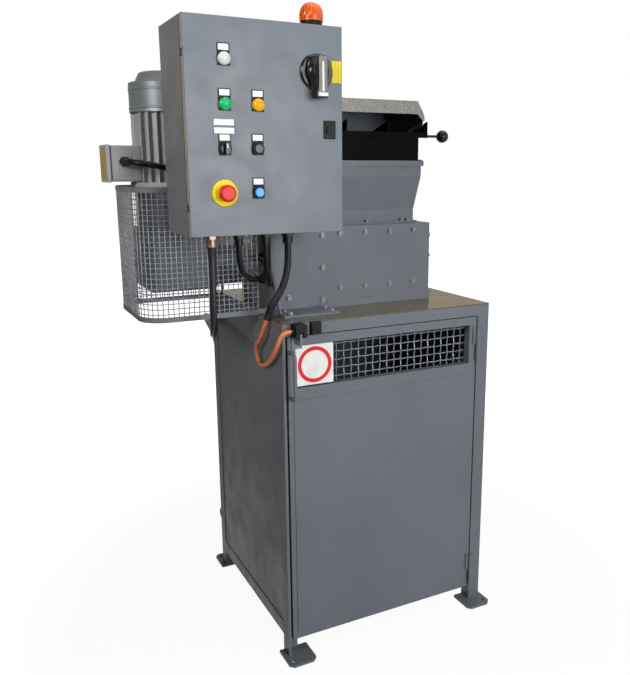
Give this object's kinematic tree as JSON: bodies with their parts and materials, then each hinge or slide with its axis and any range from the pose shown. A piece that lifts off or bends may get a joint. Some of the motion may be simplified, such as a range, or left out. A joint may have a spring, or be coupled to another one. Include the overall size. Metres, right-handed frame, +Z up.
{
  "type": "hard drive shredder",
  "caption": "Floor-standing hard drive shredder: steel stand with bin, two-shaft cutting unit under a hopper, caged vertical gearmotor and wall box with controls",
  "frame": {"origin": "Centre of the four floor anchor holes, on the floor under the feet.", "axes": "+X to the right of the operator's side, +Y to the back, +Z up; the door and the controls face -Y."},
  "size_m": [1.058, 1.0727, 1.814],
  "materials": {
    "grey_paint": "satin",
    "door_paint": "satin",
    "motor_paint": "satin",
    "galvanised": "mottled",
    "steel": "machined",
    "tool_steel": "ground",
    "dark_steel": "satin",
    "dark_wire": "satin",
    "black_sheet": "matt",
    "black_plastic": "matt",
    "black_gloss": "gloss",
    "silver_plastic": "satin",
    "light_plastic": "matt",
    "lamp_lens": "gloss",
    "blue_gloss": "gloss",
    "red_gloss": "gloss",
    "orange_lens": "gloss",
    "black_rubber": "satin",
    "orange_cable": "satin"
  },
  "bodies": {
    "stand": {"stand_frame": "grey_paint", "top_plate": "grey_paint", "stand_panels": "grey_paint", "collection_bin": "galvanised", "post_hinges": "grey_paint", "interlock_switch": "black_plastic", "base_frame": "grey_paint", "housing_plates": "grey_paint", "bearing_plates": "grey_paint", "shaft_bearings": "grey_paint", "gear_case": "grey_paint", "combs": "tool_steel", "unit_screws": "dark_steel", "hopper": "grey_paint", "feed_box": "black_sheet", "gearbox": "motor_paint", "motor_body": "motor_paint", "fan_cowl": "motor_paint", "terminal_box": "motor_paint", "guard_frame": "grey_paint", "guard_mesh": "grey_paint", "cabinet_bracket": "grey_paint", "cabinet_box": "grey_paint", "switchgear": "light_plastic", "beacon_base": "black_plastic", "beacon_lens": "orange_lens", "cable_glands": "black_gloss", "supply_cable": "black_rubber", "supply_coil": "black_rubber", "supply_plug": "red_gloss", "control_cables": "black_rubber", "interlock_cable": "orange_cable"},
    "stand_door": {"door_frame": "grey_paint", "door_panel": "grey_paint", "door_mesh": "dark_wire", "door_handle": "grey_paint", "door_hinges": "grey_paint", "interlock_key": "steel"},
    "rear_cutters": {"cutter_pack_rear": "tool_steel", "cutter_shaft_rear": "steel", "sync_gear_rear": "steel"},
    "front_cutters": {"cutter_pack_front": "tool_steel", "cutter_shaft_front": "steel", "sync_gear_front": "steel"},
    "motor_rotor": {"fan_rotor": "black_plastic"},
    "feed_lid": {"feed_tray": "black_sheet", "hood": "galvanised", "lid_lever": "black_gloss"},
    "control_door": {"cabinet_door": "door_paint", "pilot_lamps": "lamp_lens", "legend_plates": "black_plastic", "button_bezels": "black_plastic", "switch_base": "silver_plastic", "lock_plate": "black_plastic"},
    "selector": {"selector_knob": "black_gloss"},
    "black_push": {"black_button": "black_gloss"},
    "blue_push": {"blue_button": "blue_gloss"},
    "stop_mushroom": {"stop_head": "red_gloss"},
    "main_handle": {"switch_handle": "black_gloss"},
    "door_lock": {"cabinet_lock": "black_gloss"}
  },
  "joints": [
    {"name": "stand_door_hinge", "type": "hinge", "parent": "stand", "child": "stand_door", "pos_m": [0.2985, -0.316, 0.5], "axis": [0, 0, 1], "range_deg": [0, 120]},
    {"name": "rear_cutter_spin", "type": "hinge", "parent": "stand", "child": "rear_cutters", "pos_m": [0, 0.06, 1.135], "axis": [1, 0, 0], "continuous": true},
    {"name": "front_cutter_spin", "type": "hinge", "parent": "stand", "child": "front_cutters", "pos_m": [0, -0.06, 1.135], "axis": [1, 0, 0], "continuous": true},
    {"name": "motor_spin", "type": "hinge", "parent": "stand", "child": "motor_rotor", "pos_m": [-0.517, 0.06, 1.58], "axis": [0, 0, 1], "continuous": true},
    {"name": "feed_lid_hinge", "type": "hinge", "parent": "stand", "child": "feed_lid", "pos_m": [0.0235, 0.122, 1.484], "axis": [-1, 0, 0], "range_deg": [0, 75]},
    {"name": "control_door_hinge", "type": "hinge", "parent": "stand", "child": "control_door", "pos_m": [-0.579, -0.352, 1.5], "axis": [0, 0, -1], "range_deg": [0, 95]},
    {"name": "selector_turn", "type": "hinge", "parent": "control_door", "child": "selector", "pos_m": [-0.495, -0.361, 1.447], "axis": [0, 1, 0], "range_deg": [0, 90]},
    {"name": "black_button_push", "type": "slide", "parent": "control_door", "child": "black_push", "axis": [0, 1, 0], "range_m": [0, 0.004], "stiffness_N_per_m": 300},
    {"name": "blue_button_push", "type": "slide", "parent": "control_door", "child": "blue_push", "axis": [0, 1, 0], "range_m": [0, 0.004], "stiffness_N_per_m": 300},
    {"name": "stop_push", "type": "slide", "parent": "control_door", "child": "stop_mushroom", "axis": [0, 1, 0], "range_m": [0, 0.005]},
    {"name": "main_switch_turn", "type": "hinge", "parent": "control_door", "child": "main_handle", "pos_m": [-0.256, -0.37, 1.632], "axis": [0, 1, 0], "range_deg": [0, 90]},
    {"name": "lock_turn", "type": "hinge", "parent": "control_door", "child": "door_lock", "pos_m": [-0.221, -0.365, 1.496], "axis": [0, -1, 0], "range_deg": [0, 90]}
  ],
  "couplings": [
    {"joint": "front_cutter_spin", "follows": "rear_cutter_spin", "ratio": -1},
    {"joint": "motor_spin", "follows": "rear_cutter_spin", "ratio": 28}
  ]
}
